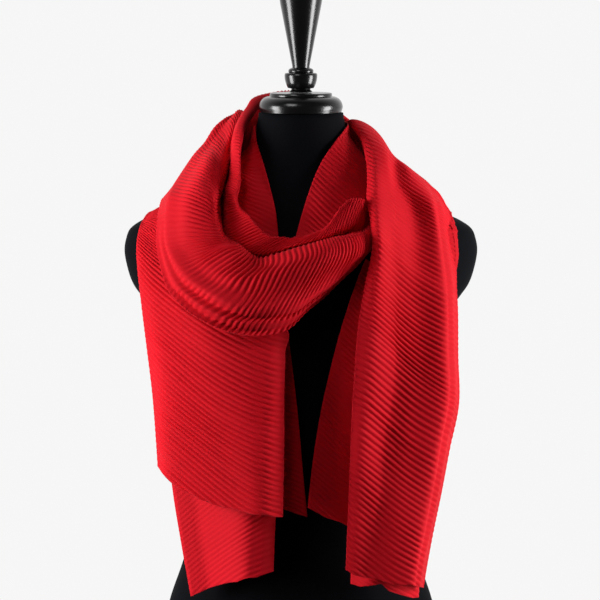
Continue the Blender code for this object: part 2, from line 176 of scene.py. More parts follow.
# First pass, round the back of the neck and down the viewer's right side to the V.
# Columns: rim, middle, outer.
COLLAR_WRAP = (
    ((-48, 15, 692), (-60, 18, 664), (-72, 18, 636)),
    ((-35, 38, 697), (-41, 44, 674), (-52, 55, 645)),
    ((1, 52, 698), (2, 58, 674), (3, 72, 643)),
    ((35, 38, 697), (41, 43, 675), (52, 53, 648)),
    ((48, 8, 693), (53, 9, 675), (63, 12, 655)),
    ((47, -18, 689), (56, -20, 674), (73, -20, 653)),
    ((36, -42, 674), (52, -44, 658), (75, -40, 636)),
    ((25, -52, 659), (43, -60, 643), (72, -60, 618)),
    ((16, -63, 642), (34, -71, 626), (64, -76, 602)),
    ((9, -73, 624), (25, -80, 611), (52, -84, 589)),
    ((2, -82, 603), (16, -86, 592), (39, -92, 578)),
    ((-4, -91, 582), (9, -95, 573), (28, -99, 561)),
    ((-9, -100, 561), (1, -103, 554), (17, -105, 546)),
)

# Second pass: across the chest, over the left shoulder and round the back to the right shoulder.
# Columns: rim, roll, hollow, crest, flank, belly, ridge, edge.
LOOP_FRONT = (
    ((84, -64, 618), (86, -70, 611), (88, -74, 605), (91, -80, 599),
     (93, -84, 593), (94, -86, 586), (94, -85, 581), (92, -82, 574)),
    ((80, -70, 616), (77, -82, 606), (77, -85, 594), (78, -99, 588),
     (79, -104, 583), (79, -107, 576), (79, -105, 571), (77, -99, 565)),
    ((75, -87, 614), (68, -102, 598), (67, -99, 585), (68, -117, 583),
     (70, -122, 575), (70, -125, 565), (64, -121, 555), (59, -110, 546)),
    ((68, -101, 617), (59, -111, 594), (56, -106, 583), (60, -127, 581),
     (64, -132, 571), (62, -135, 561), (52, -130, 545), (43, -118, 532)),
    ((60, -106, 618), (49, -116, 590), (47, -108, 580), (50, -134, 580),
     (53, -140, 569), (50, -143, 557), (36, -139, 532), (24, -126, 514)),
    ((52, -106, 617), (40, -118, 588), (38, -112, 579), (39, -138, 579),
     (42, -146, 567), (38, -150, 555), (19, -149, 523), (6, -135, 500)),
    ((43, -111, 610), (28, -118, 581), (26, -115, 576), (27, -140, 576),
     (29, -151, 566), (23, -156, 552), (0, -158, 513), (-15, -146, 482)),
    ((32, -113, 591), (12, -119, 575), (10, -114, 571), (11, -140, 572),
     (13, -153, 562), (5, -160, 549), (-19, -166, 509), (-42, -156, 477)),
    ((13, -114, 581), (-10, -120, 569), (-11, -113, 565), (-11, -139, 566),
     (-9, -153, 557), (-17, -161, 546), (-41, -171, 507), (-64, -161, 479)),
    ((-1, -113, 578), (-27, -118, 564), (-29, -110, 558), (-29, -136, 561),
     (-29, -150, 553), (-38, -160, 542), (-58, -170, 508), (-84, -160, 484)),
    ((-11, -113, 576), (-38, -116, 562), (-42, -107, 555), (-42, -135, 557),
     (-42, -148, 549), (-53, -158, 539), (-73, -169, 512), (-101, -157, 491)),
    ((-21, -112, 578), (-47, -113, 563), (-53, -105, 557), (-50, -134, 558),
     (-55, -146, 550), (-69, -155, 539), (-90, -163, 519), (-118, -149, 500)),
    ((-32, -112, 578), (-56, -109, 567), (-62, -102, 563), (-59, -130, 565),
     (-69, -139, 557), (-87, -144, 544), (-107, -150, 527), (-133, -137, 512)),
    ((-42, -108, 583), (-65, -104, 573), (-72, -97, 570), (-67, -124, 570),
     (-81, -130, 566), (-99, -132, 555), (-123, -135, 538), (-144, -122, 524)),
    ((-51, -104, 592), (-71, -98, 581), (-80, -90, 576), (-77, -114, 572),
     (-90, -120, 569), (-107, -120, 563), (-136, -115, 553), (-152, -98, 545)),
    ((-58, -100, 601), (-76, -90, 592), (-85, -78, 584), (-84, -110, 577),
     (-101, -113, 576), (-119, -108, 575), (-144, -94, 570), (-157, -74, 568)),
    ((-65, -96, 607), (-78, -84, 604), (-87, -68, 597), (-88, -104, 587),
     (-103, -107, 590), (-122, -100, 594), (-145, -80, 591), (-157, -58, 588)),
    ((-69, -92, 614), (-79, -78, 615), (-87, -58, 608), (-91, -97, 599),
     (-103, -99, 608), (-121, -91, 615), (-144, -59, 616), (-156, -34, 602)),
    ((-70, -86, 623), (-80, -70, 626), (-87, -46, 619), (-91, -89, 613),
     (-101, -92, 622), (-116, -81, 629), (-138, -34, 629), (-154, -10, 610)),
    ((-67, -76, 637), (-77, -60, 638), (-82, -34, 632), (-87, -72, 627),
     (-96, -74, 636), (-108, -64, 644), (-129, -10, 644), (-152, 26, 605)),
    ((-67, -64, 651), (-76, -52, 651), (-79, -28, 645), (-84, -57, 639),
     (-92, -58, 648), (-101, -46, 657), (-119, 6, 659), (-146, 59, 596)),
    ((-67, -54, 667), (-75, -44, 667), (-78, -26, 660), (-81, -42, 652),
     (-87, -43, 659), (-94, -24, 666), (-108, 16, 671), (-136, 79, 585)),
    ((-65, -40, 681), (-73, -32, 683), (-76, -18, 676), (-78, -20, 664),
     (-82, -20, 671), (-86, -4, 677), (-97, 28, 687), (-117, 96, 573)),
)
LOOP_BACK = (
    LOOP_FRONT[-1],
    ((-62, -18, 696), (-68, -12, 698), (-71, -5, 694), (-73, -4, 688),
     (-74, 6, 694), (-77, 18, 698), (-82, 42, 696), (-98, 106, 562)),
    ((-54, 8, 709), (-60, 12, 711), (-62, 18, 708), (-63, 22, 705),
     (-65, 32, 705), (-68, 46, 705), (-70, 84, 690), (-82, 110, 560)),
    ((-44, 32, 719), (-49, 36, 722), (-51, 42, 720), (-52, 48, 718),
     (-56, 66, 698), (-61, 84, 676), (-66, 102, 636), (-66, 116, 560)),
    ((-18, 61, 725), (-19, 68, 726), (-20, 76, 719), (-22, 86, 706),
     (-26, 94, 690), (-30, 102, 666), (-36, 112, 628), (-34, 118, 560)),
    ((10, 66, 722), (10, 73, 723), (12, 80, 715), (14, 89, 701),
     (17, 98, 685), (20, 104, 664), (26, 113, 622), (30, 118, 560)),
    ((36, 56, 706), (41, 62, 704), (47, 68, 696), (56, 76, 685),
     (68, 82, 670), (80, 88, 650), (98, 96, 618), (110, 98, 566)),
    ((51, 32, 694), (62, 34, 690), (74, 36, 680), (89, 39, 660),
     (103, 41, 648), (117, 43, 637), (136, 47, 620), (155, 45, 588)),
    ((57, 4, 696), (72, 4, 693), (87, 3, 681), (101, 1, 658),
     (115, 0, 647), (136, 0, 632), (152, 0, 617), (166, 0, 593)),
)

# Second pass, viewer's right: the tail's plies.
# Columns: inner, brow, lobe, valley, middle, fold, side, outer.
TAIL_RIGHT_FRONT = (
    LOOP_BACK[-1],
    ((66, -22, 683), (77, -31, 678), (91, -34, 670), (103, -30, 657),
     (118, -38, 646), (135, -37, 631), (150, -25, 617), (166, -14, 591)),
    ((72, -51, 660), (82, -61, 655), (94, -61, 648), (103, -56, 639),
     (120, -62, 626), (141, -65, 614), (154, -51, 605), (167, -29, 586)),
    ((73, -74, 639), (81, -86, 635), (95, -82, 625), (105, -78, 616),
     (123, -71, 603), (145, -76, 591), (156, -63, 582), (167, -42, 569)),
    ((72, -94, 616), (81, -106, 612), (97, -99, 601), (106, -94, 591),
     (125, -85, 575), (148, -88, 563), (160, -77, 554), (170, -52, 542)),
    ((76, -112, 590), (83, -124, 586), (98, -112, 571), (107, -107, 563),
     (125, -99, 548), (151, -100, 533), (164, -87, 524), (170, -65, 517)),
    ((77, -124, 565), (84, -135, 561), (99, -122, 546), (108, -117, 537),
     (126, -112, 522), (153, -112, 506), (164, -98, 499), (171, -75, 491)),
    ((69, -141, 527), (80, -147, 520), (98, -133, 503), (107, -128, 493),
     (128, -124, 476), (153, -124, 462), (165, -108, 454), (171, -84, 445)),
    ((62, -150, 482), (77, -151, 472), (97, -139, 454), (106, -135, 445),
     (128, -133, 427), (154, -132, 410), (166, -114, 402), (172, -88, 393)),
    ((58, -153, 431), (73, -153, 421), (92, -143, 403), (101, -140, 395),
     (121, -139, 378), (146, -137, 362), (157, -119, 352), (162, -94, 344)),
    ((55, -154, 380), (67, -155, 372), (85, -146, 356), (95, -144, 347),
     (115, -143, 330), (138, -140, 314), (149, -122, 304), (153, -98, 296)),
    ((53, -154, 326), (63, -155, 319), (79, -151, 305), (88, -149, 297),
     (109, -149, 280), (129, -145, 265), (139, -127, 256), (143, -104, 248)),
    ((51, -153, 274), (60, -154, 266), (72, -151, 256), (81, -150, 249),
     (102, -150, 233), (121, -146, 221), (130, -130, 210), (135, -106, 201)),
    ((49, -150, 220), (57, -151, 215), (68, -149, 206), (79, -149, 198),
     (98, -148, 183), (116, -144, 172), (125, -129, 162), (129, -109, 154)),
)
# Columns: inner, lobe, middle, outer.
TAIL_RIGHT_UNDER = (
    ((58, -125, 255), (81, -141, 245), (105, -130, 228), (131, -96, 208)),
    ((55, -125, 225), (79, -142, 215), (105, -131, 198), (129, -97, 178)),
    ((54, -125, 194), (77, -142, 184), (104, -131, 168), (128, -97, 148)),
)
# Columns: inner, middle, outer.
TAIL_RIGHT_INNER = (
    ((70, -99, 553), (94, -102, 536), (119, -96, 518)),
    ((60, -107, 529), (85, -108, 509), (114, -101, 489)),
    ((46, -115, 488), (72, -116, 467), (105, -107, 443)),
    ((35, -121, 449), (64, -122, 425), (99, -111, 400)),
    ((23, -123, 397), (54, -124, 372), (90, -113, 347)),
    ((14, -124, 344), (48, -125, 317), (86, -113, 292)),
    ((8, -124, 291), (37, -125, 267), (77, -113, 240)),
    ((4, -124, 238), (32, -125, 215), (71, -113, 189)),
)
# How far the loop is folded in between its ridge and its edge, in millimetres, at each section.
LOOP_FRONT_FOLD = (0, 0, 0, 1, 2, 4, 5, 6, 6, 6, 6, 6, 5, 3, 2, 1, 0, 0, 0, 0, 0, 0, 0)
LOOP_BACK_FOLD = (0, 0, 3, 5, 6, 6, 5, 3, 0)
# How far it sags in between its belly and its ridge.
LOOP_FRONT_SAG = (0, 0, 0, 0, 1, 2, 3, 4, 5, 5, 5, 4, 3, 2, 1, 0, 0, 0, 0, 0, 0, 0, 0)
SAG_AT = 0.55            # place of the sag, as a share of the way from the belly to the ridge
# Places of the lower folds, as a share of the way from the ridge to the edge.
FIRST_GROOVE_AT = 0.34
SECOND_RIDGE_AT = 0.56
SECOND_GROOVE_AT = 0.82
SECOND_GROOVE_DEPTH = 0.8  # as a share of the first groove's
# Pitch of the outer pass's pleats at each section, in millimetres: wide across the chest.
LOOP_FRONT_PITCH = (5.0, 5.0, 5.0, 5.0, 5.2, 5.3, 5.5, 5.6, 5.7, 5.9, 6.3, 6.5, 6.3, 5.8, 5.5, 5.3, 5.1,
                    5.0, 4.9, 4.9, 4.8, 4.8, 4.7)
LOOP_BACK_PITCH = (4.7, 4.8, 5.0, 5.0, 5.2, 5.2, 5.2, 5.2, 5.3)
TAIL_RIGHT_PITCH = (5.3, 5.3, 5.3, 5.4, 5.6, 5.8, 6.0, 6.3, 6.5, 6.6, 6.6, 6.6, 6.5, 6.4)
# Cloth in the outer pass's pleats at each section, as a share of their pitch.
LOOP_FRONT_FULLNESS = (1.20, 1.22, 1.25, 1.28, 1.30, 1.34, 1.38, 1.42, 1.42, 1.42, 1.42, 1.40, 1.38,
                       1.36, 1.34, 1.32, 1.30, 1.28, 1.25, 1.22, 1.18, 1.14, 1.12)
LOOP_BACK_FULLNESS = 1.12
TAIL_RIGHT_FULLNESS = (1.12, 1.14, 1.15, 1.16, 1.18, 1.18, 1.18, 1.18, 1.15, 1.12, 1.10, 1.10, 1.10, 1.10)
# How lively the pleats are at each guide column: flatter where the cloth is folded over or pulled.
LOOP_LIVELY = (0.8, 0.8, 0.6, 0.6, 0.85, 1.0, 1.0, 0.8, 0.55, 1.0, 0.6, 1.0, 0.45, 0.45)
TAIL_LIVELY = (1.0, 1.0, 1.0, 1.0, 1.0, 1.0, 1.0, 1.0, 0.9, 0.8, 0.7, 0.5, 0.25, 0.25)
TAIL_LEFT_BACK_LIVELY = (0.25, 0.3, 1.0, 1.4)
EDGE_CALM = 12.0         # width along a free edge where the pleats are shallower
# How far the outer pass's rim is turned down, and its edge in and up, in millimetres.
RIM_TUCK = 9.0
EDGE_TUCK_IN = 9.0
EDGE_TUCK_UP = 10.0
# Share of the two turns down and up that is left at each section of the tail.
TAIL_RIGHT_TUCK = (0.8, 0.6, 0.4, 0.2) + (0.1,) * 9

# Hems: column, counted in guides, and the place along the strip there, counted in sections.
TAIL_LEFT_FRONT_HEM = ((0, 8.55), (1, 8.61), (1.31, 8.5), (1.56, 8.35), (2, 8.02), (3, 7.82), (4, 7.73))
TAIL_LEFT_BACK_HEM = ((0, 4.33), (0.67, 4.66), (1, 4.82), (2, 4.95), (3, 4.94))
TAIL_LEFT_INNER_HEM = ((0, 10.1), (1, 10.1), (2, 9.98))
OUTER_HEM = ((0, 12.97), (1, 12.97), (2, 12.98), (3, 12.86), (4, 12.73), (5, 12.56), (6, 12.35), (8, 12.24),
             (12, 12.19), (13, 12.19))
TAIL_RIGHT_UNDER_HEM = ((0, 1.79), (0.45, 1.69), (1, 1.4), (1.33, 1.18), (1.65, 1.3), (2, 1.24), (2.75, 1.1),
                        (3, 0.97))
TAIL_RIGHT_INNER_HEM = ((0, 6.12), (0.75, 6.0), (1.1, 5.9), (2, 5.85))

# The form, and the turned pieces on it, in millimetres.
FORM_ROWS_PER_SECTION = 6
FORM_SEGMENTS = 144
TURNED_SEGMENTS = 96
TURNED_SHARP = 50        # degrees past which an edge is sharp
AXIS_RADIUS = 1          # the flat ends of a profile start here
CAP_PLATE = 0.742        # radius of the plate on the neck cap, as a share of the cap's
CAP_WIDEST = 5.6         # height of the cap's widest ring above its foot
CAP_BEVEL = 0.5          # height of the bevel round its foot
CAP_FOOT_INSET = 2.2     # from the cap's radius in to the bevel's lower edge
CAP_SIDE_INSET = 1.5     # and to its upper edge
CAP_SHOULDER_DROP = 4.3  # from the cap's top down to the end of its shoulder
CAP_SHOULDER_POWER = 0.9  # under 1 makes the shoulder fuller
# Rings of a curve: first turn and last turn, in radians, and how many.
CAP_UNDER_RINGS = (0.2, 1.57, 6)
CAP_SHOULDER_RINGS = (0.08, 1.5, 22)
# Columns: inset from the plate's radius, drop from the cap's top.
CAP_PLATE_EDGE = ((0, 3.6), (0, 1.2), (0.6, 0.5), (1.6, 0.3))
# Columns: radius, height above the finial's foot.
FINIAL_BALL = (
    (AXIS_RADIUS, 0), (12.0, 0), (12.4, 1.5), (10.5, 3.0), (10.8, 4.2), (14.4, 4.8), (15.4, 6.5),
    (16.8, 10), (17.8, 14), (18.2, 18), (18.0, 20.2), (17.2, 21.2), (13.4, 21.6), (13.9, 22.6),
    (14.0, 24.0), (13.2, 25.6), (11.4, 26.6), (9.7, 27.2), (9.5, 28.5),
)
FINIAL_TAPER = (13.6, 70)  # how much wider and higher the handle gets
FINIAL_TAPER_RINGS = (0.05, 1, 20)  # first and last, as a share of the taper, and how many
FINIAL_CROWN = (
    (23.7, 103), (23.8, 106), (23.3, 110), (21.8, 115), (19.0, 120), (14.5, 124.6), (8.5, 127.4),
)

# The studio, in metres, degrees and watts.
BACKDROP = 0.923         # brightness
AMBIENT = 0.03           # brightness of the room in front, as the object sees it
ROOM_DARK_TO = -0.2      # the room is dark up to here in Y, on a ball of radius 1 round the object
ROOM_BRIGHT_FROM = 0.9   # and as bright as the backdrop from here
FLOOR_REACH = 60.0
FLOOR_MATT = 0.25        # the floor is matt this far out, and then turns as bright as the backdrop
FLOOR_BRIGHT = 0.6
LIGHT_AIM = (0.0, 0.0, 0.55)
# Columns: name, degrees round from the front, distance, height, width, tall, watts.
LIGHTS = (
    ("softbox_left", -74, 1.5, 0.50, 0.6, 1.3, 29.0),
    ("softbox_right", 78, 1.5, 0.50, 0.6, 1.2, 29.0),
    ("top_front", -30, 1.7, 2.0, 0.8, 0.6, 7.0),
)
CAMERA_AIM = (-0.001, 0.0, 0.496)
CAMERA_DISTANCE = 3.0
CAMERA_PITCH = 7.0
FRAME_WIDTH = 0.672
SENSOR_WIDTH = 36.0      # in millimetres


def catmull_rom(points, positions):
    """Smooth curve through rows of points, read at positions counted in rows."""
    points = np.asarray(points, float)
    last = len(points) - 1
    start = np.clip(np.floor(positions).astype(int), 0, last - 1)
    share = (np.asarray(positions) - start).reshape((-1,) + (1,) * (points.ndim - 1))
    here, after = points[start], points[start + 1]
    before = np.where((start > 0).reshape(share.shape), points[np.maximum(start - 1, 0)], 2 * here - after)
    beyond = np.where((start + 2 <= last).reshape(share.shape),
                      points[np.minimum(start + 2, last)], 2 * after - here)
    return 0.5 * (2 * here + (after - before) * share
                  + (2 * before - 5 * here + 4 * after - beyond) * share ** 2
                  + (3 * here - before - 3 * after + beyond) * share ** 3)


def unit(vectors):
    return vectors / np.maximum(np.linalg.norm(vectors, axis=-1, keepdims=True), 1e-9)


def form_size(heights):
    """The form's half width, front depth and back depth at some heights."""
    table = np.array(FORM_SECTIONS, float)
    return [np.interp(heights, table[:, 0], table[:, column]) for column in (1, 2, 3)]


def form_share(points):
    """How far out points lie, as a share of the form's own reach at their height."""
    half_width, front, back = form_size(points[..., 2])
    depth = np.where(points[..., 1] < 0, front, back)
    return np.hypot(points[..., 0] / half_width, points[..., 1] / depth)


def form_slope(points):
    """Gradient of form_share."""
    step = 1.0
    return np.stack([(form_share(points + step * axis) - form_share(points - step * axis)) / (2 * step)
                     for axis in np.eye(3)], -1)


def lift_off(points, gap):
    """Push points out of the form until they are gap away from it."""
    for _ in range(LIFT_ROUNDS):
        slope = form_slope(points)
        steepness = np.maximum(np.linalg.norm(slope, axis=-1, keepdims=True), 1e-6)
        distance = (form_share(points)[..., None] - 1) / steepness
        points = points + slope / steepness * np.maximum(gap - distance, 0)
    return points


def hang_clear(points, gap):
    """Bring cloth that hangs in front of the form clear of everything above it, down to its hem."""
    reach = np.zeros(points.shape[:-1])
    for above in np.arange(0, NECK_TOP, HANG_STEP):
        half_width, front, _ = form_size(points[..., 2] + above)
        reach = np.maximum(reach, front * np.sqrt(np.clip(1 - (points[..., 0] / half_width) ** 2, 0, None)))
    hanging = points.copy()
    hanging[..., 1] = np.minimum(points[..., 1], -(reach + gap))
    return hanging


def ripples(shape, waves, seed):
    """Gentle ripples between about -1 and 1 over a grid: waves along it and across it."""
    rng = np.random.default_rng(seed)
    along = np.linspace(0, 1, shape[0])[:, None]
    across = np.linspace(0, 1, shape[1])[None, :]
    total = np.zeros(shape)
    for _ in range(RIPPLE_WAVES):
        turns_along, turns_across = rng.uniform(-1, 1, 2) * waves
        total += np.sin(2 * math.pi * (turns_along * along + turns_across * across + rng.random()))
    return total / math.sqrt(RIPPLE_WAVES)


def away_from_axis(points):
    return unit(points * (1, 1, 0))


def loop_sections(sections, folds, sags, tuck):
    """Add the outer pass's turned-in rim, its stepped lower folds and its turned-under edge."""
    rim, roll, hollow, crest, flank, belly, ridge, edge = np.array(sections, float).swapaxes(0, 1)
    fold, sag, tuck = (np.array(values, float)[:, None] for values in (folds, sags, tuck))
    inward, up = -away_from_axis(edge), np.array((0, 0, 1.0))
    tucked_rim = rim - up * RIM_TUCK * tuck
    sagged = belly + (ridge - belly) * SAG_AT + inward * sag
    first_groove = ridge + (edge - ridge) * FIRST_GROOVE_AT + inward * fold
    second_ridge = ridge + (edge - ridge) * SECOND_RIDGE_AT
    second_groove = ridge + (edge - ridge) * SECOND_GROOVE_AT + inward * fold * SECOND_GROOVE_DEPTH
    tucked_edge = edge + inward * EDGE_TUCK_IN + up * EDGE_TUCK_UP * tuck
    return np.stack([tucked_rim, rim, roll, hollow, crest, flank, belly, sagged, ridge,
                     first_groove, second_ridge, second_groove, edge, tucked_edge], axis=1)


def path_length(sections):
    """Places along the strip, counted in sections, and the mean distance travelled to each."""
    last = len(sections) - 1
    fine = np.linspace(0, last, SAMPLES_PER_SECTION * last + 1)
    path = catmull_rom(sections, fine)
    steps = np.linalg.norm(np.diff(path, axis=0), axis=-1).mean(axis=1)
    return fine, np.concatenate([[0], np.cumsum(steps)])


def strip_surface(sections, per_gap, seed, pitch=PLEAT_PITCH):
    """Smooth surface of a strip, with ROWS_PER_PLEAT rows to a pleat and per_gap columns between guides.

    Returns the grid and the place of each of its points along the strip, counted in sections.
    """
    sections = np.array(sections, float)
    guides = sections.shape[1]
    across = catmull_rom(sections.swapaxes(0, 1), np.linspace(0, guides - 1, (guides - 1) * per_gap + 1))
    fine, travelled = path_length(sections)
    pitches = np.interp(fine, np.arange(len(sections)), np.broadcast_to(pitch, len(sections)))
    passed = np.concatenate([[0], np.cumsum(np.diff(travelled) / pitches[1:])])
    pleats = passed[-1]
    rows = round(pleats) * ROWS_PER_PLEAT + 1
    uneven = 1 + PITCH_UNEVEN * ripples((rows - 1, 1), (pleats / PITCH_WAVE, 0), seed)[:, 0]
    counted = np.concatenate([[0], np.cumsum(uneven)])
    counted *= pleats / counted[-1]
    freedom = np.clip(np.minimum(counted, pleats - counted) / LINE_STILL, 0, 1)[:, None]
    waves = (pleats / LINE_WAVES[0], LINE_WAVES[1])
    wander = LINE_WANDER * freedom * ripples((rows, len(across)), waves, seed + 1)
    stations = np.interp(counted[:, None] + wander, passed, fine)
    grid = np.stack([catmull_rom(across[c], stations[:, c]) for c in range(len(across))], axis=1)
    return grid, stations


def per_column(values, columns, guides=None):
    """Spread values over the columns of a strip: one for each guide, or for the guides given."""
    if guides is None:
        guides = np.arange(len(values))
    return np.interp(np.linspace(0, guides[-1], columns), guides, values)


def moving_mean(values):
    """Mean over one pleat, down each column."""
    reach = ROWS_PER_PLEAT // 2
    padded = np.pad(values, ((reach, reach), (0, 0)), "edge")
    return sum(padded[k:k + len(values)] for k in range(2 * reach + 1)) / (2 * reach + 1)


def pleat_depth(grid, fullness):
    """Crest to valley, from the cloth in a pleat and the space that it has."""
    along, across = np.gradient(grid, axis=0), np.gradient(grid, axis=1)
    spacing = np.linalg.norm(np.cross(along, unit(across)), axis=-1) * ROWS_PER_PLEAT
    spacing = moving_mean(spacing)
    cloth = spacing.mean(axis=1, keepdims=True) * fullness
    depth = np.sqrt(np.maximum((cloth / 2) ** 2 - (spacing / 2) ** 2, PLEAT_LEAST ** 2))
    return np.clip(depth, PLEAT_LEAST, PLEAT_MOST)


def pleated(grid, seed, fullness, lively, calm):
    """Press the pleats into a smooth strip, shallower towards its free edges."""
    normal = unit(np.cross(np.gradient(grid, axis=0), np.gradient(grid, axis=1)))
    if (normal * away_from_axis(grid)).sum(-1).mean() < 0:
        normal = -normal
    rows, columns = grid.shape[:2]
    phase = 2 * math.pi * (np.arange(rows) + 0.5) / ROWS_PER_PLEAT
    wave = np.arcsin(PLEAT_SHARP * np.sin(phase)) / math.asin(PLEAT_SHARP)
    waves = (rows / ROWS_PER_PLEAT / DEPTH_WAVES[0], DEPTH_WAVES[1])
    lively = lively * (1 + DEPTH_UNEVEN * ripples((rows, columns), waves, seed))
    width = np.cumsum(np.linalg.norm(np.diff(grid, axis=1, prepend=grid[:, :1]), axis=-1), axis=1)
    from_edge = np.minimum(width, width[:, -1:] - width)
    eased = 1 - calm * np.clip(1 - from_edge / EDGE_CALM, 0, 1)
    rise = wave[:, None] * pleat_depth(grid, fullness) / 2 * lively * eased
    return grid + normal * rise[..., None]


def add_mesh(name, vertices, faces, material, smooth=True):
    mesh = bpy.data.meshes.new(name)
    mesh.from_pydata(np.asarray(vertices, float).tolist(), [], faces)
    mesh.materials.append(material)
    if smooth:
        mesh.shade_smooth()
    item = bpy.data.objects.new(name, mesh)
    bpy.context.scene.collection.objects.link(item)
    return item


def add_piece(name, vertices, faces, material, node):
    """A mesh in millimetres that stands for a node of the frame."""
    item = add_mesh(name, np.asarray(vertices) * MM, faces, material)
    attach(item, BODY)
    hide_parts(node)
    return item


def grid_faces(rows, columns):
    index = np.arange(rows * columns).reshape(rows, columns)
    faces = np.stack((index[:-1, :-1], index[1:, :-1], index[1:, 1:], index[:-1, 1:]), -1)
    return faces.reshape(-1, 4).tolist()


def cut_at_hem(surface, stations, hem):
    """Bring the rows past the hem back to it, and drop all but one of the rows that are past it all over."""
    guides, places = np.array(hem, float).T
    ends = per_column(places, surface.shape[1], guides)
    cut = surface.copy()
    for column, end in enumerate(ends):
        along = stations[:, column]
        cut[along > end, column] = [np.interp(end, along, surface[:, column, axis]) for axis in range(3)]
    last_kept = np.flatnonzero((stations < ends).any(axis=1))[-1]
    return cut[:last_kept + 2]


def add_cloth(node, grid, seed, material, rests_on, lively, fullness=PLEAT_FULLNESS, calm=0.5, hem=None):
    """One stretch of the scarf, pleated, with its wall, and cut at its hem where one is given.

    hem holds two things: the place of each of the grid's points along the strip, and the hem's table.
    """
    surface = pleated(grid, seed, fullness, lively, calm)
    if hem:
        surface = cut_at_hem(surface, *hem)
    rows, columns = surface.shape[:2]
    item = add_piece("pleated_" + node, surface.reshape(-1, 3), grid_faces(rows, columns), material,
                     node)
    if hem:
        weld(item.data)
    wall = item.modifiers.new("wall", "SOLIDIFY")
    wall.thickness = CLOTH_WALL * MM
    wall.offset = 0


def weld(mesh):
    """Join points that lie together and drop the faces between them."""
    work = bmesh.new()
    work.from_mesh(mesh)
    bmesh.ops.remove_doubles(work, verts=work.verts, dist=1e-6)
    work.to_mesh(mesh)
    work.free()


def new_material(name):
    material = bpy.data.materials.new(name)
    material.use_nodes = True
    tree = material.node_tree
    return material, tree, tree.nodes["Principled BSDF"]


def add_node(tree, kind, **settings):
    node = tree.nodes.new(kind)
    for key, value in settings.items():
        if key in node.inputs:
            node.inputs[key].default_value = value
        else:
            setattr(node, key, value)
    return node


def add_grain(tree, shader, place, scale, strength):
    """A fine grain that stands proud of the surface."""
    grain = add_node(tree, "ShaderNodeTexNoise", Scale=scale, Detail=2.0)
    bump = add_node(tree, "ShaderNodeBump", Strength=strength, Distance=0.0004)
    tree.links.new(place.outputs["Object"], grain.inputs["Vector"])
    tree.links.new(grain.outputs["Fac"], bump.inputs["Height"])
    tree.links.new(bump.outputs["Normal"], shader.inputs["Normal"])


def scarf_material():
    """Red crepe: matt, with a faint sheen, a fine grain and a slightly uneven dye."""
    material, tree, shader = new_material("pleated_red_crepe")
    links = tree.links
    place = add_node(tree, "ShaderNodeTexCoord")
    dye = add_node(tree, "ShaderNodeTexNoise", Scale=9.0, Detail=3.0)
    ramp = add_node(tree, "ShaderNodeValToRGB")
    ramp.color_ramp.elements[0].position = 0.3
    ramp.color_ramp.elements[0].color = (0.62, 0.0035, 0.012, 1)
    ramp.color_ramp.elements[1].position = 0.7
    ramp.color_ramp.elements[1].color = (0.70, 0.0045, 0.015, 1)
    links.new(place.outputs["Object"], dye.inputs["Vector"])
    links.new(dye.outputs["Fac"], ramp.inputs["Fac"])
    links.new(ramp.outputs["Color"], shader.inputs["Base Color"])
    add_grain(tree, shader, place, scale=1500.0, strength=0.25)
    shader.inputs["Roughness"].default_value = 0.75
    shader.inputs["Specular IOR Level"].default_value = 0.12
    shader.inputs["Sheen Weight"].default_value = 0.10
    shader.inputs["Sheen Roughness"].default_value = 0.4
    shader.inputs["Sheen Tint"].default_value = (1.0, 0.30, 0.32, 1)
    return material


def jersey_material():
    """Black knitted jersey of the form."""
    material, tree, shader = new_material("black_jersey")
    add_grain(tree, shader, add_node(tree, "ShaderNodeTexCoord"), scale=900.0, strength=0.3)
    shader.inputs["Base Color"].default_value = (0.0016, 0.0019, 0.0034, 1)
    shader.inputs["Roughness"].default_value = 0.85
    shader.inputs["Specular IOR Level"].default_value = 0.08
    shader.inputs["Sheen Weight"].default_value = 0.02
    shader.inputs["Sheen Roughness"].default_value = 0.3
    shader.inputs["Sheen Tint"].default_value = (0.75, 0.88, 1.0, 1)
    return material


def lacquer_material():
    """Black lacquered wood of the neck cap and the finial."""
    material, tree, shader = new_material("black_lacquer")
    links = tree.links
    place = add_node(tree, "ShaderNodeTexCoord")
    wear = add_node(tree, "ShaderNodeTexNoise", Scale=35.0, Detail=4.0)
    rough = add_node(tree, "ShaderNodeMapRange")
    rough.inputs["To Min"].default_value = 0.20
    rough.inputs["To Max"].default_value = 0.30
    links.new(place.outputs["Object"], wear.inputs["Vector"])
    links.new(wear.outputs["Fac"], rough.inputs["Value"])
    links.new(rough.outputs["Result"], shader.inputs["Roughness"])
    shader.inputs["Base Color"].default_value = (0.004, 0.004, 0.0045, 1)
    shader.inputs["Coat Weight"].default_value = 0.3
    shader.inputs["Coat Roughness"].default_value = 0.15
    return material


def turned_faces(rings, segments):
    """Faces of a solid of revolution, from its rings of points, closed at both ends."""
    index = np.arange(rings * segments).reshape(rings, segments)
    beside = np.roll(index, -1, axis=1)
    sides = np.stack((index[:-1], beside[:-1], beside[1:], index[1:]), -1).reshape(-1, 4).tolist()
    return sides + [index[0, ::-1].tolist(), index[-1].tolist()]


def add_form(material):
    """The torso, a fine loft through the form's level sections."""
    last = len(FORM_SECTIONS) - 1
    rows = catmull_rom(FORM_SECTIONS, np.linspace(0, last, FORM_ROWS_PER_SECTION * last + 1))
    height, half_width, front, back = rows.T[..., None]
    angle = np.linspace(0, 2 * math.pi, FORM_SEGMENTS, endpoint=False)
    depth = np.where(np.sin(angle) < 0, front, back)
    rings = np.broadcast_arrays(half_width * np.cos(angle), depth * np.sin(angle), height)
    add_piece("jersey_form", np.stack(rings, -1).reshape(-1, 3), turned_faces(len(rows), FORM_SEGMENTS),
              material, "form_torso")


